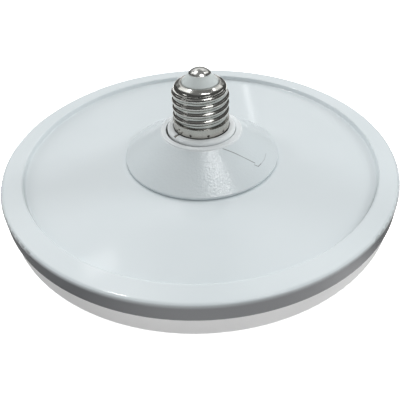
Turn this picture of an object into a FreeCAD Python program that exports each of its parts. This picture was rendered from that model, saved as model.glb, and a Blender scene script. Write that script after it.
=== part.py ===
import FreeCAD, Part
import math
import os

# Disc-shaped LED bulb with an E27 screw cap, standing cap up. All sizes are in mm.
# The origin is the centre of the flat diffuser face that the bulb stands on.
# Z runs up the axis of the cap.

# Back housing: raised rim around a sunk plate
disc_radius = 92.5
rim_height = 7.9
rim_width = 9.2
rim_rounding = 1.5
recess_depth = 2.4
recess_slant = 0.6
recess_rounding = 0.8
housing_wall = 1.8
plate_thickness = 1.6
wire_opening_radius = 14.0

# Diffuser: opal dish that snaps into the housing
diffuser_height = 10.9
diffuser_inset = 1.0
diffuser_wall = 1.5
diffuser_rounding = 2.4
spigot_wall = 1.4
bead_rise = 1.2
bead_height = 1.2
snap_reach = 0.5
snap_clearance = 0.2
hook_height = 1.0
hook_count = 8
hook_angle = 10.0

# Cone cover over the driver: it stands on a set-back foot and ends in a raised lip
cone_base_radius = 37.0
cone_foot_inset = 0.6
cone_foot_gap = 0.6
cone_edge_height = 0.9
cone_edge_rounding = 0.35
cone_height = 14.2
cone_lip_width = 2.7
cone_lip_rise = 0.8
cone_lip_rounding = 0.6
cone_wall = 1.8
mouth_depth = 2.6
mouth_rounding = 0.5
ledge_thickness = 1.6
register_height = 1.0
register_wall = 1.0
register_clearance = 0.6
cone_boss_clearance = 0.2

# Neck collar that carries the cap, with a groove that the cap's skirt stands in
# The cone's mouth lies off the axis, so the gap around the collar is least at the right
collar_width = 3.0
collar_gap = 0.4
collar_least_gap = 0.1
collar_rise = 1.7
collar_rounding = 1.3
collar_ledge = 1.7
skirt_groove_width = 0.4
skirt_groove_depth = 0.8
collar_spigot_clearance = 0.2
collar_spigot_wall = 1.6
claw_height = 1.5
claw_reach = 0.9
claw_tip = 0.3
claw_count = 4
claw_angle = 40.0
claw_slot_width = 3.0
neck_wall = 1.8
neck_clearance = 0.1
neck_step = 1.0

# E27 cap: rolled shell with a right-hand knuckle thread, grey insulator and domed contact
thread_pitch = 3.629
thread_crest_radius = 13.15
thread_depth = 1.1
thread_length = 14.6
thread_start_angle = 342.0
thread_runout_angle = 60.0
thread_step_angle = 30.0
thread_span_steps = 3
groove_floor = 0.05
shell_wall = 0.4
skirt_inset = 0.05
skirt_height = 4.5
skirt_rounding = 0.25
shoulder_height = 3.2
shoulder_slope_height = 1.75
shoulder_rounding = 3.0
shoulder_width = 3.8
shell_lip_rounding = 0.9
punch_count = 10
punch_radius = 0.8
punch_depth = 0.35
punch_height = 1.2
punch_start_angle = 283.0
insulator_height = 3.5
insulator_top_radius = 5.1
insulator_rounding = 0.3
contact_inset = 0.19
contact_height = 2.5
contact_edge = 0.4
stem_radius = 1.4
stem_reach = 1.2

# Screws: one size for the whole lamp
screw_shank_radius = 1.25
screw_head_radius = 2.6
screw_head_height = 1.6
screw_head_rounding = 0.6
screw_cross_length = 2.6
screw_cross_width = 0.6
screw_cross_depth = 0.8
screw_clearance = 0.4
pilot_clearance = 0.05
screw_skin = 1.0
cone_screw_bite = 3.4
boss_radius = 3.0

# Light engine, screwed up against the housing plate
board_screw_count = 6
head_room = 1.2
spreader_thickness = 0.8
spreader_lip_clearance = 0.8
spreader_margin = 3.0
led_board_thickness = 1.0
led_board_margin = 4.0
led_board_opening_radius = 8.0
led_length = 3.5
led_width = 2.8
led_height = 0.7
led_pitch = 14.0
led_ring_count = 3
led_first_ring_radius = 36.0
led_edge_margin = 11.6
connector_length = 8.0
connector_width = 7.0
connector_height = 4.0
connector_rounding = 0.6
connector_setback = 4.0
connector_window_radius = 0.9
connector_window_depth = 1.2

# Driver board and its parts, under the cone
cone_screw_angles = (30.0, 150.0, 270.0)
standoff_height = 2.0
driver_board_thickness = 1.6
driver_board_clearance = 2.5
driver_screw_inset = 3.5
driver_screw_angles = (20.0, 200.0)
driver_rest_angle = 110.0
edge_part_inset = 4.5
edge_part_angles = {"film": 270.0, "rectifier": 325.0, "chip": 230.0, "fuse": 68.0, "varistor": 140.0}
neck_part_clearance = 0.4
neck_part_angles = {"bulk": 170.0, "output": 50.0, "choke": 312.0, "live": 0.0}
bulk_capacitor_radius = 4.0
bulk_capacitor_height = 16.0
output_capacitor_radius = 3.15
output_capacitor_height = 7.0
capacitor_crimp_height = 1.6
capacitor_crimp_depth = 0.4
capacitor_rounding = 0.4
choke_radius = 3.5
choke_height = 8.0
choke_flange = 1.0
choke_waist_radius = 1.8
choke_winding_clearance = 0.1
film_capacitor_size = (9.0, 4.5, 3.6)
rectifier_size = (4.7, 3.9, 2.4)
chip_size = (4.9, 3.9, 1.5)
package_rounding = 0.3
fuse_length = 9.0
fuse_radius = 1.5
fuse_rounding = 0.7
varistor_radius = 3.0
varistor_thickness = 3.2
varistor_rounding = 1.2

# Leads, with the bulge and notch of the skirt where the neutral lead's bare end passes under it
lead_radius = 0.8
lead_bend_share = 0.45
lead_edge_clearance = 1.2
led_lead_offset = 1.6
live_drop = 4.0
live_slant = 8.0
neutral_angle = 219.0
neutral_radius = 0.4
neutral_rise = 2.0
neutral_tail = 2.8
neutral_wall_gap = 0.6
neutral_skirt_gap = 0.05
neutral_slot_clearance = 0.25
notch_radius = 0.85
bulge_radius = 0.9
bulge_rise = 0.35

# Heights of the main faces, from the resting face up
z_seam = diffuser_height
z_bead_top = z_seam + bead_rise + bead_height
z_rim_top = z_seam + rim_height
z_plate_top = z_rim_top - recess_depth
z_plate_under = z_plate_top - plate_thickness
z_register = z_plate_top + register_height
z_cone_foot = z_plate_top + cone_foot_gap
z_cone_edge = z_cone_foot + cone_edge_height
z_cone_top = z_plate_top + cone_height
z_lip_foot = z_cone_top - cone_lip_rise
z_ledge_top = z_cone_top - mouth_depth
z_ledge_under = z_ledge_top - ledge_thickness
z_collar_top = z_cone_top + collar_rise
z_skirt_foot = z_collar_top - skirt_groove_depth
z_skirt_top = z_collar_top + skirt_height
z_thread_top = z_skirt_top + thread_length
z_neck_top = z_thread_top - neck_step
z_shell_top = z_thread_top + shoulder_height
z_shoulder = z_shell_top - shoulder_slope_height
z_lip_under = z_shell_top - 2 * shell_wall
z_insulator_top = z_shell_top + insulator_height
z_contact_top = z_insulator_top + contact_height
z_stem_bottom = z_neck_top - stem_reach
z_spreader_top = z_plate_under - screw_head_height - head_room
z_led_board_top = z_spreader_top - spreader_thickness
z_led_board_under = z_led_board_top - led_board_thickness
z_connector_under = z_led_board_under - connector_height
z_driver_under = z_plate_top + standoff_height
z_driver_top = z_driver_under + driver_board_thickness
z_board_screw_tip = z_plate_top - screw_skin
z_cone_screw_tip = z_plate_top + cone_screw_bite
z_driver_screw_tip = z_plate_under + screw_skin
z_neutral_hole = z_collar_top + neutral_rise
z_neutral_tail = z_collar_top - neutral_radius - neutral_skirt_gap

# Radii that several pieces share
housing_inner_radius = disc_radius - housing_wall
spigot_radius = housing_inner_radius - snap_reach - snap_clearance
spigot_inner_radius = spigot_radius - spigot_wall
spreader_radius = spigot_inner_radius - spreader_margin
led_board_radius = spreader_radius - led_board_margin
led_ring_spacing = (led_board_radius - led_edge_margin - led_first_ring_radius) / (led_ring_count - 1)
board_screw_circle = led_first_ring_radius + led_ring_spacing * (led_ring_count - 1.5)
thread_root_radius = thread_crest_radius - thread_depth
shell_core_radius = thread_root_radius + groove_floor
shell_bore_radius = shell_core_radius - shell_wall
shell_hole_radius = shell_core_radius - shoulder_width
shell_lip_radius = shell_hole_radius + 2 * shell_wall
skirt_radius = thread_crest_radius - skirt_inset
skirt_inner_radius = skirt_radius - shell_wall
contact_radius = insulator_top_radius - contact_inset
neck_tube_radius = shell_bore_radius - neck_clearance
neck_bore_radius = neck_tube_radius - neck_wall
collar_radius = skirt_radius + collar_width
mouth_radius = collar_radius + collar_gap
mouth_offset = collar_gap - collar_least_gap
cone_lip_radius = mouth_radius + cone_lip_width
cone_slope_run = cone_base_radius - cone_lip_radius
cone_slope_rise = z_lip_foot - z_cone_edge
cone_wall_width = cone_wall * math.hypot(cone_slope_run, cone_slope_rise) / cone_slope_rise
cone_foot_radius = cone_base_radius - cone_foot_inset
cone_foot_bore = cone_base_radius - cone_wall_width
register_radius = cone_foot_bore - register_clearance
register_bore = register_radius - register_wall
cone_screw_circle = register_bore - cone_boss_clearance - boss_radius
driver_board_radius = cone_screw_circle - boss_radius - driver_board_clearance
driver_screw_circle = driver_board_radius - driver_screw_inset
edge_part_circle = driver_board_radius - edge_part_inset
throat_radius = collar_radius - collar_ledge
collar_spigot_radius = throat_radius - collar_spigot_clearance
collar_spigot_bore = collar_spigot_radius - collar_spigot_wall
connector_radius = led_board_opening_radius + connector_setback
pilot_radius = screw_shank_radius + pilot_clearance
screw_hole_radius = screw_shank_radius + screw_clearance
neutral_inner_radius = neck_bore_radius - neutral_radius - neutral_wall_gap
neutral_outer_radius = skirt_inner_radius - neutral_radius - neutral_skirt_gap
neutral_tail_radius = skirt_radius + neutral_tail

centre = FreeCAD.Vector(0, 0, 0)
axis_x = FreeCAD.Vector(1, 0, 0)
axis_z = FreeCAD.Vector(0, 0, 1)


def polar(radius, angle, height=0.0):
    """Point at a radius and an angle in degrees around the axis."""
    turn = math.radians(angle)
    return FreeCAD.Vector(radius * math.cos(turn), radius * math.sin(turn), height)


def around(count, start=0.0):
    """Angles of evenly spaced places around the axis."""
    return [start + 360.0 * place / count for place in range(count)]


def turned_to(shape, angle):
    """The shape, turned around the axis."""
    shape.rotate(centre, axis_z, angle)
    return shape


def corner_arc(before, corner, after, rounding):
    """Start, middle and end of the arc that rounds a corner."""
    back = (before - corner).normalize()
    ahead = (after - corner).normalize()
    half = back.getAngle(ahead) / 2
    inward = (back + ahead).normalize()
    reach = rounding / math.tan(half)
    middle = corner + inward * (rounding / math.sin(half) - rounding)
    return corner + back * reach, middle, corner + ahead * reach


def outline_face(corners):
    """Face in the XZ plane from (radius, height) or (radius, height, rounding) corners."""
    places = [FreeCAD.Vector(corner[0], 0, corner[1]) for corner in corners]
    count = len(places)
    arcs = []
    for index, corner in enumerate(corners):
        if len(corner) == 3:
            after = places[(index + 1) % count]
            arcs.append(corner_arc(places[index - 1], places[index], after, corner[2]))
        else:
            arcs.append((places[index],))
    edges = []
    for index, arc in enumerate(arcs):
        if len(arc) == 3:
            edges.append(Part.Arc(*arc).toShape())
        following = arcs[(index + 1) % count][0]
        edges.append(Part.LineSegment(arc[-1], following).toShape())
    return Part.Face(Part.Wire(edges))


def turned(corners, start=0.0, sweep=360.0):
    """Solid turned from a profile around the axis, over all or part of a turn."""
    return turned_to(outline_face(corners), start).revolve(centre, axis_z, sweep)


def post(radius, bottom, top, place=centre):
    """Upright cylinder between two heights at a place."""
    base = FreeCAD.Vector(place.x, place.y, bottom)
    return Part.makeCylinder(radius, top - bottom, base)


def posts(places, radius, bottom, top):
    """Equal upright cylinders at several places."""
    return [post(radius, bottom, top, place) for place in places]


def block(size, place, rounding):
    """Box with rounded upright edges, standing centred on a place."""
    length, width, height = size
    corner = FreeCAD.Vector(place.x - length / 2, place.y - width / 2, place.z)
    box = Part.makeBox(length, width, height, corner)
    upright = [edge for edge in box.Edges if edge.BoundBox.ZLength > height / 2]
    return box.makeFillet(rounding, upright)


def lead(places, radius):
    """Round lead along straight runs joined by tangent arcs, each as large as its runs allow."""
    edges = []
    start = places[0]
    for before, corner, after in zip(places, places[1:], places[2:]):
        turn = (corner - before).getAngle(after - corner)
        run = min((corner - before).Length, (after - corner).Length)
        arc = corner_arc(before, corner, after, lead_bend_share * run / math.tan(turn / 2))
        edges.append(Part.LineSegment(start, arc[0]).toShape())
        edges.append(Part.Arc(*arc).toShape())
        start = arc[2]
    edges.append(Part.LineSegment(start, places[-1]).toShape())
    section = Part.Wire(Part.makeCircle(radius, places[0], places[1] - places[0]))
    return Part.Wire(edges).makePipeShell([section], True, False)


def screw(place, z_under_head, z_tip):
    """Pan-head screw with a cross recess, from the face under its head to its tip."""
    up = 1 if z_tip > z_under_head else -1
    base = FreeCAD.Vector(place.x, place.y, z_under_head)
    crown = base - axis_z * up * screw_head_height
    head = Part.makeCylinder(screw_head_radius, screw_head_height, base, axis_z * -up)
    rim = [edge for edge in head.Edges if abs(edge.BoundBox.Center.z - crown.z) < screw_head_rounding]
    head = head.makeFillet(screw_head_rounding, rim)
    long_side = screw_cross_length / 2
    short_side = screw_cross_width / 2
    for half_x, half_y in ((long_side, short_side), (short_side, long_side)):
        corner = crown - FreeCAD.Vector(half_x, half_y, screw_cross_depth)
        head = head.cut(Part.makeBox(2 * half_x, 2 * half_y, 2 * screw_cross_depth, corner))
    return head.fuse(post(screw_shank_radius, min(z_under_head, z_tip), max(z_under_head, z_tip), place))


def screws(places, z_under_head, z_tip):
    """A set of equal screws."""
    return Part.makeCompound([screw(place, z_under_head, z_tip) for place in places])


def cone_radius(height):
    """Outer radius of the cone's slope at a height."""
    return cone_base_radius - cone_slope_run * (height - z_cone_edge) / cone_slope_rise


def cone_inner_radius(height):
    """Inner radius of the cone's slope at a height."""
    return cone_radius(height) - cone_wall_width


cone_screw_places = [polar(cone_screw_circle, angle) for angle in cone_screw_angles]
board_screw_places = [polar(board_screw_circle, angle) for angle in around(board_screw_count)]
driver_screw_places = [polar(driver_screw_circle, angle) for angle in driver_screw_angles]
driver_rest_places = driver_screw_places + [polar(driver_screw_circle, driver_rest_angle)]


def make_back_housing():
    """Moulded disc: rim wall, sunk plate, snap bead, bosses and the ring that centres the cone."""
    step_top = disc_radius - rim_width
    step_foot = step_top - recess_slant
    z_rim_under = z_rim_top - plate_thickness
    body = turned([
        (wire_opening_radius, z_plate_under),
        (wire_opening_radius, z_plate_top),
        (register_bore, z_plate_top),
        (register_bore, z_register),
        (register_radius, z_register),
        (register_radius, z_plate_top),
        (step_foot, z_plate_top, recess_rounding),
        (step_top, z_rim_top, recess_rounding),
        (disc_radius, z_rim_top, rim_rounding),
        (disc_radius, z_seam),
        (housing_inner_radius, z_seam),
        (housing_inner_radius, z_seam + bead_rise),
        (housing_inner_radius - snap_reach, z_seam + bead_rise + snap_reach),
        (housing_inner_radius - snap_reach, z_bead_top),
        (housing_inner_radius, z_bead_top),
        (housing_inner_radius, z_rim_under, recess_rounding),
        (step_top + plate_thickness, z_rim_under),
        (step_foot + plate_thickness, z_plate_under),
    ])
    z_plate_middle = z_plate_top - plate_thickness / 2
    bosses = posts(board_screw_places, boss_radius, z_spreader_top, z_plate_middle)
    bosses += posts(driver_rest_places, boss_radius, z_plate_middle, z_driver_under)
    holes = posts(board_screw_places, pilot_radius, z_spreader_top, z_board_screw_tip)
    holes += posts(driver_screw_places, pilot_radius, z_driver_screw_tip, z_driver_under)
    holes += posts(cone_screw_places, screw_hole_radius, z_plate_under, z_plate_top)
    return body.fuse(bosses).cut(holes)


def make_diffuser():
    """Opal dish with a spigot and snap hooks that catch over the housing's bead."""
    radius = disc_radius - diffuser_inset
    z_hook = z_bead_top + snap_clearance
    z_spigot_top = z_hook + hook_height
    body = turned([
        (0, 0),
        (radius, 0, diffuser_rounding),
        (radius, z_seam),
        (spigot_radius, z_seam),
        (spigot_radius, z_spigot_top),
        (spigot_inner_radius, z_spigot_top),
        (spigot_inner_radius, z_seam - 2 * diffuser_wall),
        (radius - diffuser_wall, z_seam - 3 * diffuser_wall),
        (radius - diffuser_wall, diffuser_wall, diffuser_rounding - diffuser_wall / 2),
        (0, diffuser_wall),
    ])
    hook_root = spigot_radius - spigot_wall / 2
    hook_radius = housing_inner_radius - snap_clearance
    hook = [
        (hook_root, z_hook),
        (hook_radius, z_hook),
        (hook_radius, z_hook + hook_height / 3),
        (hook_root, z_spigot_top),
    ]
    return body.fuse([turned(hook, angle, hook_angle) for angle in around(hook_count)])


def make_cone_cover():
    """Moulded cone with a set-back foot, a counterbored mouth for the collar and three screw bosses."""
    body = turned([
        (cone_foot_bore, z_plate_top),
        (cone_foot_radius, z_plate_top),
        (cone_foot_radius, z_cone_foot),
        (cone_base_radius, z_cone_foot),
        (cone_base_radius, z_cone_edge, cone_edge_rounding),
        (cone_lip_radius, z_lip_foot),
        (cone_lip_radius, z_cone_top, cone_lip_rounding),
        (throat_radius, z_cone_top),
        (throat_radius, z_ledge_under),
        (cone_inner_radius(z_ledge_under), z_ledge_under),
        (cone_foot_bore, z_cone_edge),
    ])
    mouth = turned([
        (0, z_ledge_top),
        (mouth_radius, z_ledge_top),
        (mouth_radius, z_cone_top, mouth_rounding),
        (cone_lip_radius, z_cone_top),
        (cone_lip_radius, z_collar_top),
        (0, z_collar_top),
    ])
    mouth.translate(axis_x * -mouth_offset)
    boss_room = turned([
        (0, z_plate_top),
        (cone_foot_bore, z_plate_top),
        (cone_foot_bore + cone_wall_width / 2, z_cone_edge),
        (cone_inner_radius(z_ledge_under) + cone_wall_width / 2, z_ledge_under),
        (0, z_ledge_under),
    ])
    bosses = posts(cone_screw_places, boss_radius, z_plate_top, z_ledge_under)
    holes = posts(cone_screw_places, pilot_radius, z_plate_top, z_cone_screw_tip)
    return body.cut(mouth).fuse([boss.common(boss_room) for boss in bosses]).cut(holes)


def make_neck_collar():
    """Moulded neck: tube inside the shell, collar on the cone's ledge, claws under the ledge."""
    z_bottom = z_ledge_under - claw_height
    z_claw = z_ledge_under - neck_clearance
    z_seat_top = z_skirt_top - shell_wall - neck_clearance
    seat_radius = skirt_inner_radius - neck_clearance
    groove_radius = skirt_radius + skirt_groove_width
    claw_root = collar_spigot_radius - collar_spigot_wall / 2
    body = turned([
        (collar_spigot_bore, z_bottom),
        (collar_spigot_radius, z_bottom),
        (collar_spigot_radius, z_ledge_top),
        (collar_radius, z_ledge_top),
        (collar_radius, z_collar_top, collar_rounding),
        (groove_radius, z_collar_top),
        (groove_radius, z_skirt_foot),
        (seat_radius, z_skirt_foot),
        (seat_radius, z_seat_top),
        (neck_tube_radius, z_seat_top),
        (neck_tube_radius, z_neck_top),
        (neck_bore_radius, z_neck_top),
        (neck_bore_radius, z_collar_top),
        (collar_spigot_bore, z_ledge_top),
    ])
    claw = [
        (claw_root, z_claw),
        (collar_spigot_radius + claw_reach, z_claw),
        (collar_spigot_radius + claw_reach, z_claw - claw_tip),
        (claw_root, z_bottom),
    ]
    claw_starts = around(claw_count, -claw_angle / 2)
    body = body.fuse([turned(claw, angle, claw_angle) for angle in claw_starts])

    slot_corner = FreeCAD.Vector(collar_spigot_bore - claw_reach, -claw_slot_width / 2, z_bottom)
    slot_length = collar_spigot_wall + 2 * claw_reach
    cuts = []
    for angle in around(claw_count, 180.0 / claw_count):
        slot = Part.makeBox(slot_length, claw_slot_width, claw_height, slot_corner)
        cuts.append(turned_to(slot, angle))

    half_slot = neutral_radius + neutral_slot_clearance
    groove_length = neutral_tail_radius - neutral_outer_radius + half_slot
    groove_corner = FreeCAD.Vector(neutral_outer_radius - half_slot, -half_slot, z_neutral_tail - half_slot)
    hole_start = FreeCAD.Vector(neutral_inner_radius, 0, z_neutral_hole)
    hole = Part.makeCylinder(half_slot, skirt_radius - neutral_inner_radius, hole_start, axis_x)
    upright = Part.makeBox(groove_length, 2 * half_slot, neutral_rise + 3 * half_slot, groove_corner)
    cuts += [turned_to(hole, neutral_angle), turned_to(upright, neutral_angle)]
    return body.cut(cuts)


def thread_ridge():
    """Rolled ridge of the thread, wound up the shell and sinking into it at both ends.

    The crest is one arc and each flank is its mirror image, so neighbouring turns make a wave.
    """
    quarter = thread_pitch / 4
    arc_radius = (quarter ** 2 + (thread_depth / 2) ** 2) / thread_depth
    total_angle = 360.0 * thread_length / thread_pitch
    sink = thread_depth + 3 * groove_floor

    def ridge_place(angle):
        """Foot of the ridge's middle, after an angle along the thread."""
        share = min(1.0, angle / thread_runout_angle, (total_angle - angle) / thread_runout_angle)
        radius = thread_root_radius - sink * (1 - share) ** 2
        return polar(radius, thread_start_angle + angle, z_skirt_top + thread_pitch * angle / 360.0)

    def flank_radius(offset):
        """Radius of the groove's arc at an offset from the groove's middle."""
        return thread_root_radius + arc_radius - math.sqrt(arc_radius ** 2 - offset ** 2)

    steps = round(total_angle / thread_step_angle)
    curve = Part.BSplineCurve()
    curve.interpolate([ridge_place(total_angle * step / steps) for step in range(steps + 1)])
    knots = curve.getKnots()
    stations = knots[0:-1:thread_span_steps] + [knots[-1]]
    path = Part.Wire([curve.toShape(first, last) for first, last in zip(stations, stations[1:])])

    flank_end = 2 * quarter - groove_floor
    flank_middle = (quarter + flank_end) / 2
    half_section = [
        (thread_crest_radius - thread_depth / 2, quarter),
        (flank_radius(2 * quarter - flank_middle), flank_middle),
        (flank_radius(groove_floor), flank_end),
    ]
    lower_half = [(radius, -offset) for radius, offset in reversed(half_section)]
    section = lower_half + [(thread_crest_radius, 0)] + half_section
    places = [polar(radius - sink, thread_start_angle, z_skirt_top + offset) for radius, offset in section]
    edges = [Part.Arc(*places[first:first + 3]).toShape() for first in (0, 2, 4)]
    edges.append(Part.LineSegment(places[-1], places[0]).toShape())
    sweep = Part.BRepOffsetAPI.MakePipeShell(path)
    sweep.setBiNormalMode(axis_z)
    sweep.add(Part.Wire(edges))
    sweep.build()
    sweep.makeSolid()
    return sweep.shape()


def make_cap_shell():
    """Rolled sheet shell: plain skirt with staking punches, E27 thread and rounded shoulder."""
    outside = turned([
        (0, z_skirt_foot),
        (skirt_radius, z_skirt_foot),
        (skirt_radius, z_skirt_top, skirt_rounding),
        (shell_core_radius, z_skirt_top, skirt_rounding / 2),
        (shell_core_radius, z_shoulder, shoulder_rounding),
        (shell_lip_radius, z_shell_top, shell_lip_rounding),
        (shell_hole_radius, z_shell_top - shell_wall),
        (0, z_shell_top - shell_wall),
    ])
    inside = turned([
        (0, z_skirt_foot),
        (skirt_inner_radius, z_skirt_foot),
        (skirt_inner_radius, z_skirt_top - shell_wall),
        (shell_bore_radius, z_skirt_top - shell_wall),
        (shell_bore_radius, z_shoulder - shell_wall, shoulder_rounding - shell_wall),
        (shell_hole_radius + shell_wall, z_lip_under),
        (shell_hole_radius, z_lip_under),
        (shell_hole_radius, z_shell_top - shell_wall),
        (0, z_shell_top - shell_wall),
    ])
    punch_circle = skirt_radius + punch_radius - punch_depth
    punch_places = [
        polar(punch_circle, angle, z_collar_top + punch_height)
        for angle in around(punch_count, punch_start_angle)
    ]
    cuts = [Part.makeSphere(punch_radius, place) for place in punch_places]
    notch_start = FreeCAD.Vector(neutral_outer_radius, 0, z_neutral_tail)
    notch_length = neutral_tail_radius - neutral_outer_radius
    notch = Part.makeCylinder(notch_radius, notch_length, notch_start, axis_x)
    cuts.append(turned_to(notch, neutral_angle))
    bulge_place = polar(skirt_radius + bulge_rise - bulge_radius, neutral_angle, z_neutral_hole)
    bulge = post(bulge_radius, z_collar_top, z_neutral_hole, bulge_place)
    bulge_end = Part.makeSphere(bulge_radius, bulge_place)
    return outside.fuse([thread_ridge(), bulge, bulge_end]).cut(inside).cut(cuts)


def make_cap_insulator():
    """Grey ring that stands on the neck, held down by the shell's shoulder."""
    bore = stem_radius + neck_clearance
    ring_radius = shell_hole_radius - neck_clearance
    return turned([
        (bore, z_neck_top),
        (neck_tube_radius, z_neck_top),
        (neck_tube_radius, z_shoulder - shell_wall - neck_clearance, shoulder_rounding - shell_wall),
        (ring_radius + shell_wall, z_lip_under - neck_clearance),
        (ring_radius, z_lip_under - neck_clearance),
        (ring_radius, z_shell_top),
        (insulator_top_radius, z_insulator_top, insulator_rounding),
        (bore, z_insulator_top),
    ])


def make_contact_button():
    """Domed centre contact on a stem through the insulator."""
    rise = contact_height - contact_edge
    dome_radius = (contact_radius ** 2 + rise ** 2) / (2 * rise)
    dome = Part.makeSphere(dome_radius, FreeCAD.Vector(0, 0, z_contact_top - dome_radius))
    button = post(contact_radius, z_insulator_top, z_contact_top).common(dome)
    return button.fuse(post(stem_radius, z_stem_bottom, z_insulator_top + contact_edge))


def make_heat_spreader():
    """Pressed aluminium pan with a turned-up lip."""
    z_lip = z_plate_under - spreader_lip_clearance
    lip_inner = spreader_radius - spreader_thickness
    body = turned([
        (wire_opening_radius, z_led_board_top),
        (spreader_radius, z_led_board_top, 2 * spreader_thickness),
        (spreader_radius, z_lip),
        (lip_inner, z_lip),
        (lip_inner, z_spreader_top, spreader_thickness),
        (wire_opening_radius, z_spreader_top),
    ])
    return body.cut(posts(board_screw_places, screw_hole_radius, z_led_board_top, z_spreader_top))


def make_led_board():
    """Aluminium-core board disc with a wire opening and screw holes."""
    holes = posts(board_screw_places, screw_hole_radius, z_led_board_under, z_led_board_top)
    holes.append(post(led_board_opening_radius, z_led_board_under, z_led_board_top))
    return post(led_board_radius, z_led_board_under, z_led_board_top).cut(holes)


def make_led_packages():
    """LEDs in rings on the underside of the board, each with its long side along the ring."""
    packages = []
    for ring in range(led_ring_count):
        radius = led_first_ring_radius + ring * led_ring_spacing
        corner = FreeCAD.Vector(radius - led_width / 2, -led_length / 2, z_led_board_under - led_height)
        for angle in around(round(2 * math.pi * radius / led_pitch)):
            package = Part.makeBox(led_width, led_length, led_height, corner)
            packages.append(turned_to(package, angle))
    return Part.makeCompound(packages)


def make_lead_connector():
    """Two-pole connector under the LED board, its wire mouths facing the centre."""
    place = FreeCAD.Vector(connector_radius + connector_length / 2, 0, z_connector_under)
    body = block((connector_length, connector_width, connector_height), place, connector_rounding)
    windows = []
    for side in (-led_lead_offset, led_lead_offset):
        z_window = z_connector_under + connector_window_depth
        window_place = FreeCAD.Vector(place.x, side, 0)
        windows.append(post(connector_window_radius, z_connector_under, z_window, window_place))
    return body.cut(windows)


def make_driver_board():
    """Round driver board on three standoffs."""
    holes = posts(driver_screw_places, screw_hole_radius, z_driver_under, z_driver_top)
    return post(driver_board_radius, z_driver_under, z_driver_top).cut(holes)


def in_neck(part, radius):
    """Place of a tall part of this radius, standing inside the neck's bore."""
    return polar(neck_bore_radius - neck_part_clearance - radius, neck_part_angles[part])


def near_edge(part):
    """Place of a low part on the driver board, near its edge."""
    return polar(edge_part_circle, edge_part_angles[part], z_driver_top)


def make_capacitor(part, radius, height):
    """Sleeved electrolytic can with a crimp near its foot and a rounded top."""
    z_crimp = z_driver_top + capacitor_crimp_height
    z_top = z_driver_top + height
    body = turned([
        (0, z_driver_top),
        (radius, z_driver_top, capacitor_rounding),
        (radius, z_crimp),
        (radius - capacitor_crimp_depth, z_crimp + capacitor_crimp_depth),
        (radius, z_crimp + 2 * capacitor_crimp_depth),
        (radius, z_top, capacitor_rounding),
        (0, z_top),
    ])
    return body.translate(in_neck(part, radius))


def make_choke_core():
    """Ferrite drum core standing on the driver board."""
    z_top = z_driver_top + choke_height
    body = turned([
        (0, z_driver_top),
        (choke_radius, z_driver_top),
        (choke_radius, z_driver_top + choke_flange),
        (choke_waist_radius, z_driver_top + choke_flange),
        (choke_waist_radius, z_top - choke_flange),
        (choke_radius, z_top - choke_flange),
        (choke_radius, z_top),
        (0, z_top),
    ])
    return body.translate(in_neck("choke", choke_radius))


def make_choke_winding():
    """Copper winding that fills the drum's waist, under its sleeve."""
    bottom = z_driver_top + choke_flange
    top = z_driver_top + choke_height - choke_flange
    place = in_neck("choke", choke_radius)
    sleeve = post(choke_radius - choke_winding_clearance, bottom, top, place)
    return sleeve.cut(post(choke_waist_radius + choke_winding_clearance, bottom, top, place))


def make_fuse_resistor():
    """Round fuse resistor lying on the driver board, with rounded ends."""
    start = near_edge("fuse") + FreeCAD.Vector(-fuse_length / 2, 0, fuse_radius)
    body = Part.makeCylinder(fuse_radius, fuse_length, start, axis_x)
    rims = [edge for edge in body.Edges if edge.BoundBox.XLength < fuse_length / 2]
    return body.makeFillet(fuse_rounding, rims)


def make_varistor():
    """Disc varistor laid flat, with a rounded coating."""
    body = post(varistor_radius, z_driver_top, z_driver_top + varistor_thickness, near_edge("varistor"))
    rims = [edge for edge in body.Edges if edge.BoundBox.ZLength < varistor_thickness / 2]
    return body.makeFillet(varistor_rounding, rims)


live_place = in_neck("live", lead_radius)
live_route = [
    FreeCAD.Vector(0, 0, z_stem_bottom),
    FreeCAD.Vector(0, 0, z_stem_bottom - live_drop),
    live_place + axis_z * (z_stem_bottom - live_drop - live_slant),
    live_place + axis_z * z_driver_top,
]
neutral_route = [
    polar(neutral_inner_radius, neutral_angle, z_driver_top),
    polar(neutral_inner_radius, neutral_angle, z_neutral_hole),
    polar(neutral_outer_radius, neutral_angle, z_neutral_hole),
    polar(neutral_outer_radius, neutral_angle, z_neutral_tail),
    polar(neutral_tail_radius, neutral_angle, z_neutral_tail),
]


def led_route(side):
    """Way of one LED lead, from the driver board down into its connector mouth."""
    start_radius = led_board_opening_radius - lead_radius - lead_edge_clearance
    z_mouth = z_connector_under + connector_height / 2
    return [
        FreeCAD.Vector(start_radius, side * led_lead_offset, z_driver_under),
        FreeCAD.Vector(start_radius, side * led_lead_offset, z_mouth),
        FreeCAD.Vector(connector_radius, side * led_lead_offset, z_mouth),
    ]


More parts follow.
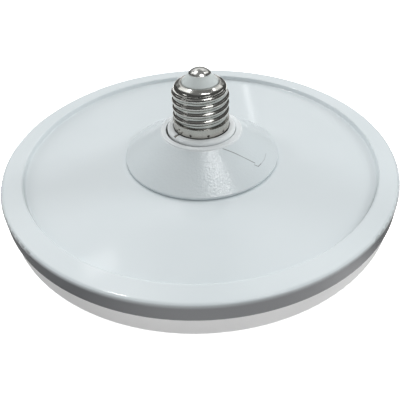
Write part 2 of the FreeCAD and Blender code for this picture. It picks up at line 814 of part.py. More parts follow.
nodes = {
    "contact_button": make_contact_button(),
    "cap_insulator": make_cap_insulator(),
    "cap_shell": make_cap_shell(),
    "neck_collar": make_neck_collar(),
    "cone_cover": make_cone_cover(),
    "back_housing": make_back_housing(),
    "diffuser": make_diffuser(),
    "cone_screws": screws(cone_screw_places, z_plate_under, z_cone_screw_tip),
    "heat_spreader": make_heat_spreader(),
    "led_board": make_led_board(),
    "led_packages": make_led_packages(),
    "board_screws": screws(board_screw_places, z_led_board_under, z_board_screw_tip),
    "lead_connector": make_lead_connector(),
    "driver_board": make_driver_board(),
    "driver_screws": screws(driver_screw_places, z_driver_top, z_driver_screw_tip),
    "bulk_capacitor": make_capacitor("bulk", bulk_capacitor_radius, bulk_capacitor_height),
    "output_capacitor": make_capacitor("output", output_capacitor_radius, output_capacitor_height),
    "film_capacitor": block(film_capacitor_size, near_edge("film"), package_rounding),
    "choke_core": make_choke_core(),
    "choke_winding": make_choke_winding(),
    "bridge_rectifier": block(rectifier_size, near_edge("rectifier"), package_rounding),
    "driver_chip": block(chip_size, near_edge("chip"), package_rounding),
    "fuse_resistor": make_fuse_resistor(),
    "varistor": make_varistor(),
    "live_lead": lead(live_route, lead_radius),
    "neutral_lead": lead(neutral_route, neutral_radius),
    "led_lead_positive": lead(led_route(1), lead_radius),
    "led_lead_negative": lead(led_route(-1), lead_radius),
}

os.makedirs("parts", exist_ok=True)
for name, shape in nodes.items():
    shape.exportStep(os.path.join("parts", name + ".step"))
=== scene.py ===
import math

import bpy
from mathutils import Matrix, Vector


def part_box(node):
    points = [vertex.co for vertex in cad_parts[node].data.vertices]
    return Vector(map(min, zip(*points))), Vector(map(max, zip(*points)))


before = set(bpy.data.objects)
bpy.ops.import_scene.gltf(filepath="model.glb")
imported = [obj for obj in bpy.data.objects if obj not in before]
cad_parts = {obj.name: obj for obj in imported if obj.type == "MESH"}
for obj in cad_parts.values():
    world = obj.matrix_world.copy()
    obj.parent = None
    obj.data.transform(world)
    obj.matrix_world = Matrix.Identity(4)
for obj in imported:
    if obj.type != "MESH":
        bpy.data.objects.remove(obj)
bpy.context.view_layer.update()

# Back housing: the white disc with a raised rim, injection moulded in glossy plastic with a faint
# orange peel. Its sunk plate is a shade greyer. Below the rounded rim its wall carries painted shade:
# a grey band that fades in and grows darker downward.
# It carries every other piece: the light engine below it, the driver and the cone above.
disc_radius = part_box("back_housing")[1].x
housing_white = (0.77, 0.83, 0.852, 1.0)
housing_shade = (0.73, 0.795, 0.818, 1.0)
plate_grey = (0.62, 0.675, 0.70, 1.0)
plate_grey_share = 0.2
plate_edge = disc_radius - 0.0092
plate_fade = 0.0008
wall_shade_grey = (0.160, 0.167, 0.176, 1.0)
rim_top = 0.0188
rim_rounding = 0.0015
wall_shade_start = rim_top - 0.0003
wall_shade_end = rim_top - 0.0028
wall_shade_ease = 3.5


def add_node(tree, kind, sockets=(), **settings):
    """Adds a node, sets its properties, and fills its sockets with values or other nodes' outputs."""
    node = tree.nodes.new(kind)
    for name, value in settings.items():
        setattr(node, name, value)
    for socket, value in dict(sockets).items():
        if isinstance(value, bpy.types.NodeSocket):
            tree.links.new(value, node.inputs[socket])
        else:
            node.inputs[socket].default_value = value
    return node


def calculate(tree, operation, *values, **settings):
    """Result of a sum on numbers and other nodes' outputs."""
    sockets = dict(enumerate(values))
    return add_node(tree, "ShaderNodeMath", sockets, operation=operation, **settings).outputs[0]


def map_range(tree, value, low, high, to_low, to_high, **settings):
    """Value taken from one range to another, clamped."""
    sockets = {"Value": value, "From Min": low, "From Max": high, "To Min": to_low, "To Max": to_high}
    return add_node(tree, "ShaderNodeMapRange", sockets, **settings).outputs["Result"]


def mix_colors(tree, mask, first, second):
    """Colour that goes from the first to the second as the mask goes from 0 to 1."""
    first_color, second_color, mixed_color = 6, 7, 2
    sockets = {"Factor": mask, first_color: first, second_color: second}
    return add_node(tree, "ShaderNodeMix", sockets, data_type="RGBA").outputs[mixed_color]


def new_group(name, inputs, outputs, kinds=()):
    """Starts a shader node group, with number sockets unless kinds names another kind."""
    tree = bpy.data.node_groups.new(name, "ShaderNodeTree")
    kinds = dict(kinds)
    for direction, labels in (("INPUT", inputs), ("OUTPUT", outputs)):
        for label in labels:
            kind = kinds.get(label, "NodeSocketFloat")
            tree.interface.new_socket(name=label, in_out=direction, socket_type=kind)
    return tree, tree.nodes.new("NodeGroupInput"), tree.nodes.new("NodeGroupOutput")


def new_material(name, **constants):
    """Starts a material and returns it with its node tree and its shader."""
    material = bpy.data.materials.new(name)
    material.use_nodes = True
    shader = material.node_tree.nodes["Principled BSDF"]
    for socket, value in constants.items():
        shader.inputs[socket.replace("_", " ")].default_value = value
    return material, material.node_tree, shader


def reopen(material):
    """Node tree and shader of a material, with what feeds its colour so far."""
    shader = material.node_tree.nodes["Principled BSDF"]
    return material.node_tree, shader, shader.inputs["Base Color"].links[0].from_socket


def finish_node(material, *nodes):
    """Gives CAD nodes their finish."""
    for name in nodes:
        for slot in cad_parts[name].material_slots:
            slot.material = material


# Skin of a moulded piece: fine grain for bump, soft clouds for tone, and a few dust specks.
speck_size = 0.006
speck_edge = (0.05, 0.12)
speck_choice = 0.86
cloud_range = (0.2, 0.8)
moulded_gloss_spread = (0.85, 1.15)
dust_dulling = 0.03

skin_group, entry, end = new_group(
    "moulded_skin", ("Grain size", "Cloud size", "Speck size"), ("Grain", "Clouds", "Specks"))
place = add_node(skin_group, "ShaderNodeTexCoord").outputs["Object"]
for size, output, sockets in (
        ("Grain size", "Grain", {"Detail": 2.0, "Roughness": 0.55}),
        ("Cloud size", "Clouds", {"Detail": 3.0, "Roughness": 0.5})):
    scale = calculate(skin_group, "DIVIDE", 1.0, entry.outputs[size])
    noise = add_node(skin_group, "ShaderNodeTexNoise", {"Vector": place, "Scale": scale, **sockets})
    skin_group.links.new(noise.outputs["Fac"], end.inputs[output])
scale = calculate(skin_group, "DIVIDE", 1.0, entry.outputs["Speck size"])
cells = add_node(skin_group, "ShaderNodeTexVoronoi", {"Vector": place, "Scale": scale})
specks = map_range(skin_group, cells.outputs["Distance"], *speck_edge, 1.0, 0.0)
lot = add_node(skin_group, "ShaderNodeSeparateColor", {0: cells.outputs["Color"]}).outputs[0]
chosen = calculate(skin_group, "GREATER_THAN", lot, speck_choice)
skin_group.links.new(calculate(skin_group, "MULTIPLY", specks, chosen), end.inputs["Specks"])

# Place around and along the bulb's axis: radius, turn and height, for rings, bands and rolled lines.
round_group, _, end = new_group("round_place", (), ("Radius", "Turn", "Height"))
place = add_node(round_group, "ShaderNodeTexCoord").outputs["Object"]
split = add_node(round_group, "ShaderNodeSeparateXYZ", {0: place})
flat = add_node(round_group, "ShaderNodeCombineXYZ", {0: split.outputs[0], 1: split.outputs[1]})
radius = add_node(round_group, "ShaderNodeVectorMath", {0: flat.outputs[0]}, operation="LENGTH")
turn = calculate(round_group, "ARCTAN2", split.outputs[1], split.outputs[0])
round_group.links.new(radius.outputs["Value"], end.inputs["Radius"])
round_group.links.new(turn, end.inputs["Turn"])
round_group.links.new(split.outputs[2], end.inputs["Height"])


def moulded(name, light, shade, roughness, grain, bump, cloud=0.03):
    """Moulded plastic: two close tones, uneven gloss, a fine skin and a few specks of dust."""
    material, tree, shader = new_material(name)
    sizes = {"Grain size": grain, "Cloud size": cloud, "Speck size": speck_size}
    skin = add_node(tree, "ShaderNodeGroup", sizes, node_tree=skin_group).outputs
    clouds = map_range(
        tree, skin["Clouds"], *cloud_range, 0.0, 1.0, interpolation_type="SMOOTHSTEP")
    gloss_range = [roughness * share for share in moulded_gloss_spread]
    gloss = map_range(tree, skin["Clouds"], *cloud_range, *gloss_range)
    dusty = calculate(tree, "MULTIPLY_ADD", skin["Specks"], dust_dulling, gloss)
    relief = add_node(
        tree, "ShaderNodeBump", {"Height": skin["Grain"], "Distance": bump, "Strength": 1.0})
    tree.links.new(mix_colors(tree, clouds, light, shade), shader.inputs["Base Color"])
    tree.links.new(dusty, shader.inputs["Roughness"])
    tree.links.new(relief.outputs[0], shader.inputs["Normal"])
    return material


housing = moulded(
    "housing_plastic", housing_white, housing_shade, roughness=0.08, grain=0.0014, bump=0.000004, cloud=0.05)
tree, shader, color = reopen(housing)
where = add_node(tree, "ShaderNodeGroup", node_tree=round_group)
on_plate = map_range(
    tree, where.outputs["Radius"], plate_edge - plate_fade, plate_edge, plate_grey_share, 0.0)
color = mix_colors(tree, on_plate, color, plate_grey)
# Painted shade: below the rounded rim the white wall is mixed to grey, darkest at the bottom.
outside = map_range(
    tree, where.outputs["Radius"], disc_radius - rim_rounding, disc_radius - rim_rounding / 2, 0.0, 1.0)
clear = map_range(tree, where.outputs["Height"], wall_shade_end, wall_shade_start, 0.0, 1.0)
below = calculate(tree, "SUBTRACT", 1.0, calculate(tree, "POWER", clear, wall_shade_ease))
wall_shade = calculate(tree, "MULTIPLY", outside, below)
tree.links.new(mix_colors(tree, wall_shade, color, wall_shade_grey), shader.inputs["Base Color"])
finish_node(housing, "back_housing")

# Heat spreader: a bare aluminium pan, pressed with a turned-up lip, screwed under the housing.
# The press leaves fine lines that run around it.
spreader_light = (0.80, 0.81, 0.82, 1.0)
spreader_dark = (0.62, 0.63, 0.65, 1.0)
roll_length = 0.6
roll_range = (0.3, 0.7)
rolled_gloss_spread = (0.8, 1.25)

roll_group, entry, end = new_group("rolled_lines", ("Line size", "Line length"), ("Lines",))
where = add_node(roll_group, "ShaderNodeGroup", node_tree=round_group)
across = calculate(roll_group, "ADD", where.outputs["Radius"], where.outputs["Height"])
across = calculate(roll_group, "DIVIDE", across, entry.outputs["Line size"])
along = calculate(roll_group, "DIVIDE", where.outputs["Turn"], entry.outputs["Line length"])
spread = add_node(roll_group, "ShaderNodeCombineXYZ", {0: across, 1: along}).outputs[0]
noise = add_node(roll_group, "ShaderNodeTexNoise", {"Vector": spread, "Scale": 1.0, "Detail": 3.0})
roll_group.links.new(noise.outputs["Fac"], end.inputs["Lines"])


def rolled_metal(name, light, dark, roughness, line, bump):
    """Bare or plated sheet with fine lines around the axis, which change its tone and gloss."""
    material, tree, shader = new_material(name, Metallic=1.0)
    sizes = {"Line size": line, "Line length": roll_length}
    lines = add_node(tree, "ShaderNodeGroup", sizes, node_tree=roll_group).outputs["Lines"]
    darkened = map_range(tree, lines, *roll_range, 0.0, 1.0)
    gloss_range = [roughness * share for share in rolled_gloss_spread]
    gloss = map_range(tree, lines, *roll_range, *gloss_range)
    relief = add_node(tree, "ShaderNodeBump", {"Height": lines, "Distance": bump, "Strength": 1.0})
    tree.links.new(mix_colors(tree, darkened, light, dark), shader.inputs["Base Color"])
    tree.links.new(gloss, shader.inputs["Roughness"])
    tree.links.new(relief.outputs[0], shader.inputs["Normal"])
    return material


spreader = rolled_metal(
    "spreader_aluminium", spreader_light, spreader_dark, roughness=0.35, line=0.0004, bump=0.00001)
finish_node(spreader, "heat_spreader")

# LED board: an aluminium-core disc under white solder mask, with ring tracks showing through.
# It is screwed up against the spreader.
mask_white = (0.86, 0.86, 0.83, 1.0)
mask_shade = (0.80, 0.80, 0.78, 1.0)
track_tone = (0.74, 0.74, 0.71, 1.0)
track_pitch = 0.0088
track_edge = (0.4 * track_pitch, 0.44 * track_pitch)

board = moulded("white_board", mask_white, mask_shade, roughness=0.35, grain=0.0003, bump=0.000004)
tree, shader, color = reopen(board)
where = add_node(tree, "ShaderNodeGroup", node_tree=round_group)
rings = calculate(tree, "PINGPONG", where.outputs["Radius"], track_pitch)
tracks = map_range(tree, rings, *track_edge, 0.0, 1.0)
tree.links.new(mix_colors(tree, tracks, color, track_tone), shader.inputs["Base Color"])
finish_node(board, "led_board")

# LED packages: white moulded cups filled with yellow phosphor.
# They are soldered in three rings under the board.
phosphor = (0.93, 0.72, 0.16, 1.0)
phosphor_deep = (0.85, 0.58, 0.08, 1.0)
led_cups = moulded(
    "led_phosphor", phosphor, phosphor_deep, roughness=0.45, grain=0.0002, bump=0.00001, cloud=0.002)
finish_node(led_cups, "led_packages")

# Screws: zinc-plated steel with pan heads and cross recesses.
# They hold the board to the housing, the driver to its standoffs and the cone to the plate.
zinc_light = (0.72, 0.73, 0.74, 1.0)
zinc_dark = (0.52, 0.54, 0.57, 1.0)
zinc = rolled_metal("screw_zinc", zinc_light, zinc_dark, roughness=0.36, line=0.0003, bump=0.00001)
finish_node(zinc, "board_screws", "driver_screws", "cone_screws")

# Lead connector: a two-pole push-in block, moulded in off-white plastic.
# It is soldered to the LED board and takes the two leads from the driver.
connector_light = (0.82, 0.80, 0.74, 1.0)
connector_shade = (0.76, 0.74, 0.68, 1.0)
connector = moulded(
    "connector_plastic", connector_light, connector_shade, roughness=0.45, grain=0.0004, bump=0.00001)
finish_node(connector, "lead_connector")

# Driver board: green solder mask on glass fibre, with a faint weave under the mask.
# It stands on the housing's three standoffs.
mask_green = (0.03, 0.16, 0.06, 1.0)
mask_green_deep = (0.02, 0.10, 0.04, 1.0)
weave_pitch = 0.0006
weave_share = 0.25

driver = moulded(
    "green_board", mask_green, mask_green_deep, roughness=0.3, grain=0.0003, bump=0.000005)
tree, shader, color = reopen(driver)
place = add_node(tree, "ShaderNodeTexCoord").outputs["Object"]
weave = add_node(tree, "ShaderNodeTexChecker", {"Vector": place, "Scale": 1.0 / weave_pitch})
woven = map_range(tree, weave.outputs["Fac"], 0.0, 1.0, 0.0, weave_share)
tree.links.new(mix_colors(tree, woven, color, mask_green_deep), shader.inputs["Base Color"])
finish_node(driver, "driver_board")

# Driver parts: sleeved capacitors, a boxed film capacitor, a drum choke with its copper winding,
# a rectifier, a chip, a painted fuse resistor and a dipped varistor, all soldered to the board.
# Each row gives the light and the shaded tone, the roughness and the pieces.
driver_parts = {
    "capacitor_sleeve": (
        (0.016, 0.016, 0.02, 1.0), (0.03, 0.03, 0.035, 1.0), 0.35, ("bulk_capacitor", "output_capacitor")),
    "film_box": (
        (0.48, 0.05, 0.02, 1.0), (0.40, 0.04, 0.02, 1.0), 0.3, ("film_capacitor",)),
    "ferrite": (
        (0.03, 0.03, 0.03, 1.0), (0.05, 0.05, 0.05, 1.0), 0.7, ("choke_core",)),
    "black_epoxy": (
        (0.012, 0.012, 0.012, 1.0), (0.022, 0.022, 0.022, 1.0), 0.5, ("bridge_rectifier", "driver_chip")),
    "fuse_coating": (
        (0.08, 0.18, 0.10, 1.0), (0.06, 0.14, 0.08, 1.0), 0.4, ("fuse_resistor",)),
    "varistor_coating": (
        (0.02, 0.06, 0.26, 1.0), (0.02, 0.05, 0.20, 1.0), 0.35, ("varistor",)),
}
for name, (light, shade, roughness, nodes) in driver_parts.items():
    finish_node(moulded(name, light, shade, roughness, grain=0.0003, bump=0.00001, cloud=0.003), *nodes)
copper_light = (0.60, 0.25, 0.11, 1.0)
copper_dark = (0.42, 0.15, 0.06, 1.0)
copper = rolled_metal(
    "choke_copper", copper_light, copper_dark, roughness=0.36, line=0.0002, bump=0.00003)
finish_node(copper, "choke_winding")

# Leads: red and black insulated wire from the driver to the centre contact and to the LED board.
# The neutral is bare tinned wire, bent out over the collar and pinched under the shell's skirt.
lead_colors = {
    "red_lead": ((0.36, 0.01, 0.01, 1.0), (0.30, 0.01, 0.01, 1.0), ("live_lead", "led_lead_positive")),
    "black_lead": ((0.012, 0.012, 0.012, 1.0), (0.02, 0.02, 0.02, 1.0), ("led_lead_negative",)),
}
for name, (light, shade, nodes) in lead_colors.items():
    insulation = moulded(name, light, shade, roughness=0.45, grain=0.0004, bump=0.00001, cloud=0.004)
    finish_node(insulation, *nodes)
tin_light = (0.55, 0.52, 0.47, 1.0)
tin_dark = (0.36, 0.34, 0.31, 1.0)
tin = rolled_metal("bare_wire", tin_light, tin_dark, roughness=0.36, line=0.0003, bump=0.00001)
finish_node(tin, "neutral_lead")

# Cone cover: the low white cone over the driver, moulded with a fine spark texture, and screwed to
# the housing from below. Its lip is painted lighter, a painted highlight for its rounded edges.
# A hair-thin scored line runs down its right side, and painted shade darkens the wall of its
# mouth, in the gap around the collar.
cone_white = (0.735, 0.797, 0.819, 1.0)
cone_shade = (0.695, 0.761, 0.785, 1.0)
cone_low, cone_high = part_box("cone_cover")
cone_edge_height = 0.0015
cone_lip_rise = 0.0008
cone_lip_radius = 0.0192
lip_painted_light = (0.84, 0.88, 0.895, 1.0)
lip_fade = 0.0004
mouth_radius = 0.0169
mouth_fade = 0.0001
mouth_painted_shade = (0.05, 0.05, 0.05, 1.0)
mouth_shade_range = (cone_high.z - 0.0006, cone_high.z - 0.0001)
score_dark = (0.06, 0.065, 0.07, 1.0)
score_width = 0.0003
score_routes = (
    (0.9, ((0.0194, -62.4), (0.0226, -51.6), (0.0303, -38.9))),
    (0.8, ((0.0307, -40.6), (0.0321, -38.7), (0.0321, -34.2))),
    (0.3, ((0.0321, -34.2), (0.0321, -27.3), (0.0316, -19.3))),
)


def on_cone(radius, angle):
    """Point on the cone's slope, at a radius and an angle in degrees."""
    share = (cone_high.x - radius) / (cone_high.x - cone_lip_radius)
    foot = cone_low.z + cone_edge_height
    head = cone_high.z - cone_lip_rise
    turn = math.radians(angle)
    return Vector((radius * math.cos(turn), radius * math.sin(turn), foot + share * (head - foot)))


def combine(tree, operation, first, second, output=0):
    """Output of a vector operation on two vectors."""
    sockets = {0: first, 1: second}
    return add_node(tree, "ShaderNodeVectorMath", sockets, operation=operation).outputs[output]


# Scored line from a start along a straight run: 1 on the line, 0 beyond its width.
line_group, entry, end = new_group(
    "scored_line", ("Start", "Run", "Width"), ("Line",),
    {"Start": "NodeSocketVector", "Run": "NodeSocketVector"})
place = add_node(line_group, "ShaderNodeTexCoord").outputs["Object"]
run = entry.outputs["Run"]
offset = combine(line_group, "SUBTRACT", place, entry.outputs["Start"])
along = combine(line_group, "DOT_PRODUCT", offset, run, "Value")
whole = combine(line_group, "DOT_PRODUCT", run, run, "Value")
share = calculate(line_group, "DIVIDE", along, whole, use_clamp=True)
nearest = add_node(line_group, "ShaderNodeVectorMath", {0: run, "Scale": share}, operation="SCALE")
gap = combine(line_group, "DISTANCE", offset, nearest.outputs[0], "Value")
near = map_range(
    line_group, gap, 0.0, entry.outputs["Width"], 1.0, 0.0, interpolation_type="SMOOTHSTEP")
line_group.links.new(near, end.inputs["Line"])

cone = moulded("cone_plastic", cone_white, cone_shade, roughness=0.11, grain=0.0011, bump=0.00012)
tree, shader, color = reopen(cone)
score = 0.0
for depth, route in score_routes:
    for first, last in zip(route, route[1:]):
        start = on_cone(*first)
        sockets = {"Start": start, "Run": on_cone(*last) - start, "Width": score_width}
        line = add_node(tree, "ShaderNodeGroup", sockets, node_tree=line_group).outputs["Line"]
        score = calculate(tree, "MAXIMUM", score, calculate(tree, "MULTIPLY", line, depth))
color = mix_colors(tree, score, color, score_dark)
where = add_node(tree, "ShaderNodeGroup", node_tree=round_group)
# Painted highlight: the lip is mixed to a lighter white, in place of the highlights on its edges.
lit_lip = map_range(
    tree, where.outputs["Radius"], cone_lip_radius, cone_lip_radius + lip_fade, 1.0, 0.0)
color = mix_colors(tree, lit_lip, color, lip_painted_light)
# Painted shade: the mouth's wall, deep in the gap around the collar, is mixed to near black.
in_mouth = map_range(
    tree, where.outputs["Radius"], mouth_radius, mouth_radius + mouth_fade, 1.0, 0.0)
deep = map_range(tree, where.outputs["Height"], *mouth_shade_range, 1.0, 0.0)
shaded_mouth = calculate(tree, "MULTIPLY", in_mouth, deep)
tree.links.new(mix_colors(tree, shaded_mouth, color, mouth_painted_shade), shader.inputs["Base Color"])
finish_node(cone, "cone_cover")

# Neck collar: white moulded neck that plugs into the cone with claws and carries the cap.
# Only its rounded flange shows, between the cone's mouth and the metal skirt.
collar_white = (0.86, 0.90, 0.91, 1.0)
collar_shade = (0.83, 0.87, 0.88, 1.0)
collar = moulded(
    "collar_plastic", collar_white, collar_shade, roughness=0.11, grain=0.0008, bump=0.000006)
finish_node(collar, "neck_collar")

# Cap shell: thin brass sheet rolled to the screw thread and plated bright nickel.
# It is pushed over the neck and staked to it with punch marks around the skirt, which is duller,
# finely scratched upright, and darker in the punches and where it meets the collar: tarnish there,
# with painted shade.
nickel_light = (0.58, 0.58, 0.55, 1.0)
nickel_dark = (0.45, 0.45, 0.425, 1.0)
skirt_light = (0.545, 0.525, 0.485, 1.0)
skirt_dark = (0.43, 0.415, 0.38, 1.0)
skirt_gloss = 0.24
skirt_radius = 0.0131
skirt_top = 0.0368
skirt_fade = 0.0003
skirt_tuck = 0.0008
skirt_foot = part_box("cap_shell")[0].z + skirt_tuck
scratch_size = 0.0004
scratch_stretch = 0.1
scratch_range = (0.45, 0.75)
scratch_share = 0.35
tarnish_and_shade = (0.10, 0.10, 0.095, 1.0)
tarnish_and_shade_share = 0.85
tarnish_and_shade_rise = (skirt_foot + 0.0002, skirt_foot + 0.0006)
punch_range = (skirt_radius - 0.00012, skirt_radius - 0.00003)

nickel = rolled_metal(
    "cap_nickel", nickel_light, nickel_dark, roughness=0.16, line=0.00035, bump=0.000006)
tree, shader, polished_color = reopen(nickel)
polished_gloss = shader.inputs["Roughness"].links[0].from_socket
where = add_node(tree, "ShaderNodeGroup", node_tree=round_group)
on_skirt = map_range(tree, where.outputs["Height"], skirt_top - skirt_fade, skirt_top, 1.0, 0.0)
around = calculate(tree, "MULTIPLY", where.outputs["Turn"], skirt_radius / scratch_size)
upright = calculate(tree, "MULTIPLY", where.outputs["Height"], scratch_stretch / scratch_size)
spread = add_node(tree, "ShaderNodeCombineXYZ", {0: around, 1: upright}).outputs[0]
scratches = add_node(tree, "ShaderNodeTexNoise", {"Vector": spread, "Scale": 1.0, "Detail": 3.0})
scratched = map_range(tree, scratches.outputs["Fac"], *scratch_range, 0.0, scratch_share)
skirt_color = mix_colors(tree, scratched, skirt_light, skirt_dark)
# The skirt's foot and the punch hollows go dark: tarnish, and painted shade where they are sunk or meet the
# collar.
at_foot = map_range(tree, where.outputs["Height"], *tarnish_and_shade_rise, 1.0, 0.0)
in_punch = map_range(tree, where.outputs["Radius"], *punch_range, 1.0, 0.0)
foot_and_punch_marks = calculate(tree, "MAXIMUM", at_foot, in_punch)
tarnished_and_shaded = calculate(tree, "MULTIPLY", foot_and_punch_marks, tarnish_and_shade_share)
skirt_color = mix_colors(tree, tarnished_and_shaded, skirt_color, tarnish_and_shade)
gloss = map_range(tree, on_skirt, 0.0, 1.0, polished_gloss, skirt_gloss)
tree.links.new(mix_colors(tree, on_skirt, polished_color, skirt_color), shader.inputs["Base Color"])
tree.links.new(gloss, shader.inputs["Roughness"])
finish_node(nickel, "cap_shell")

# Cap insulator: a light grey moulded ring, held in the shell's lip.
# It keeps the contact off the shell.
insulator_light = (0.66, 0.715, 0.71, 1.0)
insulator_shade = (0.63, 0.685, 0.68, 1.0)
insulator = moulded(
    "insulator_grey", insulator_light, insulator_shade, roughness=0.32, grain=0.0006, bump=0.00001)
finish_node(insulator, "cap_insulator")

# Contact button: a domed, nickel-plated metal button with a stem.
# It is riveted through the insulator and meets the live lead below.
contact_light = (0.72, 0.725, 0.70, 1.0)
contact_dark = (0.60, 0.605, 0.58, 1.0)
contact = rolled_metal(
    "contact_nickel", contact_light, contact_dark, roughness=0.19, line=0.0004, bump=0.000006)
finish_node(contact, "contact_button")

# Diffuser: the opal dish that snaps into the housing and spreads the light.
# Its moulded skin is satin and slightly cloudy.
opal_light = (0.87, 0.87, 0.87, 1.0)
opal_shade = (0.84, 0.84, 0.84, 1.0)
diffuser = moulded("opal_plastic", opal_light, opal_shade, roughness=0.45, grain=0.0006, bump=0.000008)
finish_node(diffuser, "diffuser")

# Floor: a plain pale studio floor.
# It shows white, and keeps the bulb's soft shadow.
floor_half = 3.0
floor_corners = [(-floor_half, -floor_half, 0), (floor_half, -floor_half, 0),
                 (floor_half, floor_half, 0), (-floor_half, floor_half, 0)]
floor_white = (1.0, 1.0, 1.0, 1.0)
floor_glow = 0.9
floor_tone = (0.92, 0.92, 0.92, 1.0)

floor_mesh = bpy.data.meshes.new("studio_floor")
floor_mesh.from_pydata(floor_corners, [], [(0, 1, 2, 3)])
floor = bpy.data.objects.new("studio_floor", floor_mesh)
bpy.context.scene.collection.objects.link(floor)


def seen_directly(tree):
    """1 for rays that show a thing: straight from the camera, or by reflection or through glass."""
    path = add_node(tree, "ShaderNodeLightPath").outputs
    shown = calculate(tree, "MAXIMUM", path["Is Camera Ray"], path["Is Glossy Ray"])
    return calculate(tree, "MAXIMUM", shown, path["Is Transmission Ray"])


floor_paint, tree, shader = new_material("floor_paint", Base_Color=floor_tone, Roughness=1.0)
paint = shader.outputs[0]
glow = add_node(tree, "ShaderNodeEmission", {"Color": floor_white, "Strength": floor_glow})
lit = add_node(tree, "ShaderNodeAddShader", {0: glow.outputs[0], 1: paint}).outputs[0]
shown = add_node(tree, "ShaderNodeMixShader", {0: seen_directly(tree), 1: paint, 2: lit})
tree.links.new(shown.outputs[0], tree.nodes["Material Output"].inputs["Surface"])
floor_mesh.materials.append(floor_paint)

# Cloths: a dark vault, a grey ceiling, a low black curtain all round, and a backdrop behind that
# grows lighter upward and is shaded high in its middle. Only reflections see them. They draw the
# dark bands in the bright nickel, the soft tones of the glossy disc, and keep the cone's front plain.
cloth_tiers = 24
cloth_steps = 72
cloth_black = (0.0, 0.0, 0.0, 1.0)
cloth_white = (1.0, 1.0, 1.0, 1.0)


def dome(radius, low, high):
    """Reach and height of a dome's rings, from a low to a high angle in degrees."""
    rises = [math.radians(low + (high - low) * tier / cloth_tiers) for tier in range(cloth_tiers + 1)]
    return [(radius * math.cos(rise), radius * math.sin(rise)) for rise in rises]


def shining(name, level):
    """Material of a cloth that shines at one level, with its node tree and shader."""
    return new_material(name, Base_Color=cloth_black, Specular_IOR_Level=0.0,
                        Emission_Color=cloth_white, Emission_Strength=level)


def hang(material, rings, arc):
    """Hang a sheet through the rings along an arc in degrees. Only reflections see it."""
    points = []
    for reach, height in rings:
        for step in range(cloth_steps + 1):
            turn = math.radians(arc[0] + (arc[1] - arc[0]) * step / cloth_steps)
            points.append((reach * math.cos(turn), reach * math.sin(turn), height))
    row = cloth_steps + 1
    corners = [tier * row + step for tier in range(len(rings) - 1) for step in range(cloth_steps)]
    faces = [(corner, corner + 1, corner + row + 1, corner + row) for corner in corners]
    mesh = bpy.data.meshes.new(material.name)
    mesh.from_pydata(points, [], faces)
    mesh.materials.append(material)
    sheet = bpy.data.objects.new(material.name, mesh)
    bpy.context.scene.collection.objects.link(sheet)
    sheet.visible_camera = False
    sheet.visible_diffuse = False
    sheet.visible_shadow = False
    sheet.visible_transmission = False
    material.cycles.emission_sampling = "NONE"


plain_cloths = {
    "dark_vault": (0.10, dome(1.40, 0.0, 90.0), (-235.0, 55.0)),
    "grey_ceiling": (0.24, dome(1.39, 58.0, 90.0), (-180.0, 180.0)),
    "dark_curtain": (0.03, dome(0.26, 2.0, 13.0), (-180.0, 180.0)),
}
for name, (level, rings, arc) in plain_cloths.items():
    cloth, _, _ = shining(name, level)
    hang(cloth, rings, arc)

backdrop_level = 1.1
backdrop_low_share = 0.145
backdrop_rise = (0.35, 0.90)
backdrop_middle = math.radians(93.0)
backdrop_sides = (math.radians(4.0), math.radians(17.0))
backdrop_shade_share = 0.3
backdrop_shade_rise = (0.95, 1.01)

backdrop, tree, shader = shining("backdrop", backdrop_level)
where = add_node(tree, "ShaderNodeGroup", node_tree=round_group)
upward = map_range(tree, where.outputs["Height"], *backdrop_rise, backdrop_low_share, 1.0)
aside = calculate(tree, "SUBTRACT", where.outputs["Turn"], backdrop_middle)
aside = calculate(tree, "ABSOLUTE", aside)
middle = map_range(tree, where.outputs["Height"], *backdrop_shade_rise, 1.0, backdrop_shade_share)
sideward = map_range(tree, aside, *backdrop_sides, middle, 1.0, interpolation_type="SMOOTHSTEP")
shade = calculate(tree, "MULTIPLY", upward, sideward)
tree.links.new(shade, shader.inputs["Emission Color"])
hang(backdrop, dome(1.40, 0.0, 90.0), (55.0, 125.0))

# Mat: a ring on the floor around the bulb, light in front and dark to the left, the right and
# behind. Only reflections see it. It gives the rim's wall its even grey and its dark ends.
mat_height = 0.0004
mat_reach = 0.15
mat_level = 1.2
mat_dark_share = 0.14
mat_left = (math.radians(-128.0), math.radians(-92.0))
mat_right = (math.radians(-55.0), math.radians(-32.0))

mat, tree, shader = shining("floor_mat", mat_level)
turn = add_node(tree, "ShaderNodeGroup", node_tree=round_group).outputs["Turn"]
left_share = map_range(tree, turn, *mat_left, mat_dark_share, 1.0, interpolation_type="SMOOTHSTEP")
share = map_range(tree, turn, *mat_right, left_share, mat_dark_share, interpolation_type="SMOOTHSTEP")
tree.links.new(share, shader.inputs["Emission Color"])
hang(mat, [(disc_radius, mat_height), (mat_reach, mat_height)], (-180.0, 180.0))

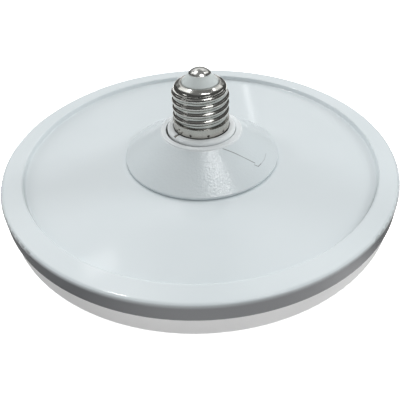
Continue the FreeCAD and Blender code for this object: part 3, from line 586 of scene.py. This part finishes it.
# Lamps: soft fills light the bulb from behind, both sides and the front, and aren't mirrored.
# Strips, sparks and a small window are only mirrored, as glints and streaks. The last four do both.
# Each row gives direction, distance, width and height, radiance, roll in degrees, and use.
lamp_aim = Vector((0.0, 0.0, 0.03))
lamps = {
    "back_fill": ((0.0, 0.4, 0.9), 1.1, (1.0, 0.7), 2.1, 0.0, "soft"),
    "left_fill": ((-0.8, 0.55, 0.25), 0.9, (0.3, 0.3), 10.8, 0.0, "soft"),
    "right_fill": ((0.85, 0.3, 0.35), 0.9, (0.3, 0.3), 10.8, 0.0, "soft"),
    "front_fill": ((0.0, -0.95, 0.25), 0.9, (0.5, 0.3), 1.7, 0.0, "soft"),
    "left_strip": ((-0.53, 0.32, 0.785), 1.0, (0.2, 0.75), 1.5, -29.0, "mirrored"),
    "right_strip": ((0.575, 0.46, 0.676), 1.0, (0.16, 0.55), 1.3, 33.0, "mirrored"),
    "left_spark": ((-0.32, 0.30, 0.90), 0.9, (0.14, 0.08), 26.0, -13.0, "mirrored"),
    "right_spark": ((0.47, 0.27, 0.84), 0.9, (0.12, 0.06), 6.0, 0.0, "mirrored"),
    "front_window": ((-0.28, 0.608, 0.743), 0.9, (0.08, 0.05), 1.6, 0.0, "mirrored"),
    "left_lamp": ((-0.86, -0.3, 0.42), 0.9, (0.25, 0.12), 2.3, 0.0, "both"),
    "cone_lamp": ((0.24, -0.22, 0.945), 0.9, (0.36, 0.12), 8.2, -47.0, "both"),
    "right_window": ((0.48, -0.77, 0.42), 0.9, (0.36, 0.14), 1.9, 0.0, "both"),
    "back_strip": ((0.134, 0.889, 0.438), 0.9, (0.012, 0.11), 1.8, 15.4, "both"),
}
for name, (direction, distance, size, radiance, roll, use) in lamps.items():
    lamp = bpy.data.lights.new(name, "AREA")
    lamp.shape = "RECTANGLE"
    lamp.size, lamp.size_y = size
    lamp.energy = radiance * math.pi * size[0] * size[1]
    stand = bpy.data.objects.new(name, lamp)
    stand.location = lamp_aim + Vector(direction).normalized() * distance
    facing = (stand.location - lamp_aim).to_track_quat("Z", "Y").to_matrix()
    stand.rotation_euler = (facing @ Matrix.Rotation(math.radians(roll), 3, "Z")).to_euler()
    stand.visible_glossy = use != "soft"
    stand.visible_diffuse = use != "mirrored"
    bpy.context.scene.collection.objects.link(stand)

# Room light: even soft light from all round.
# It shows white where it is seen.
room_white = (1.0, 1.0, 1.0, 1.0)
room_level = 0.245
world = bpy.data.worlds.new("studio_room")
world.use_nodes = True
bpy.context.scene.world = world
tree = world.node_tree
background = tree.nodes["Background"]
background.inputs["Color"].default_value = room_white
strength = map_range(tree, seen_directly(tree), 0.0, 1.0, room_level, 1.0)
tree.links.new(strength, background.inputs["Strength"])

# Camera: the photograph's own viewpoint, close above the front edge.
# The picture's frame is moved off the lens's axis, as in the photograph.
frame_pixels = 400
sensor_width = 36.0
focal_pixels = 446.35
axis_pixel = (221.30, 176.66)
near_clip = 0.01
camera_distance = 0.23038
camera_elevation = math.radians(37.58)
camera_pan = math.radians(2.30)
camera_tilt = math.radians(0.15)
camera_roll = math.radians(-0.32)

eye = Vector((0, -math.cos(camera_elevation), math.sin(camera_elevation))) * camera_distance
ahead = -eye.normalized()
side = Vector((1, 0, 0))
ahead = (ahead + math.tan(camera_pan) * side + math.tan(camera_tilt) * side.cross(ahead)).normalized()
side = ahead.cross(Vector((0, 0, 1))).normalized()
above = side.cross(ahead)
rolled_side = math.cos(camera_roll) * side + math.sin(camera_roll) * above
rolled_above = math.cos(camera_roll) * above - math.sin(camera_roll) * side
lens = bpy.data.cameras.new("camera")
lens.sensor_width = sensor_width
lens.lens = focal_pixels / frame_pixels * sensor_width
lens.shift_x = (frame_pixels / 2 - axis_pixel[0]) / frame_pixels
lens.shift_y = (axis_pixel[1] - frame_pixels / 2) / frame_pixels
lens.clip_start = near_clip
camera = bpy.data.objects.new("camera", lens)
columns = [rolled_side, rolled_above, -ahead]
camera.matrix_world = Matrix.Translation(eye) @ Matrix(columns).transposed().to_4x4()
bpy.context.scene.collection.objects.link(camera)
bpy.context.scene.camera = camera
bpy.context.scene.view_settings.view_transform = "Standard"
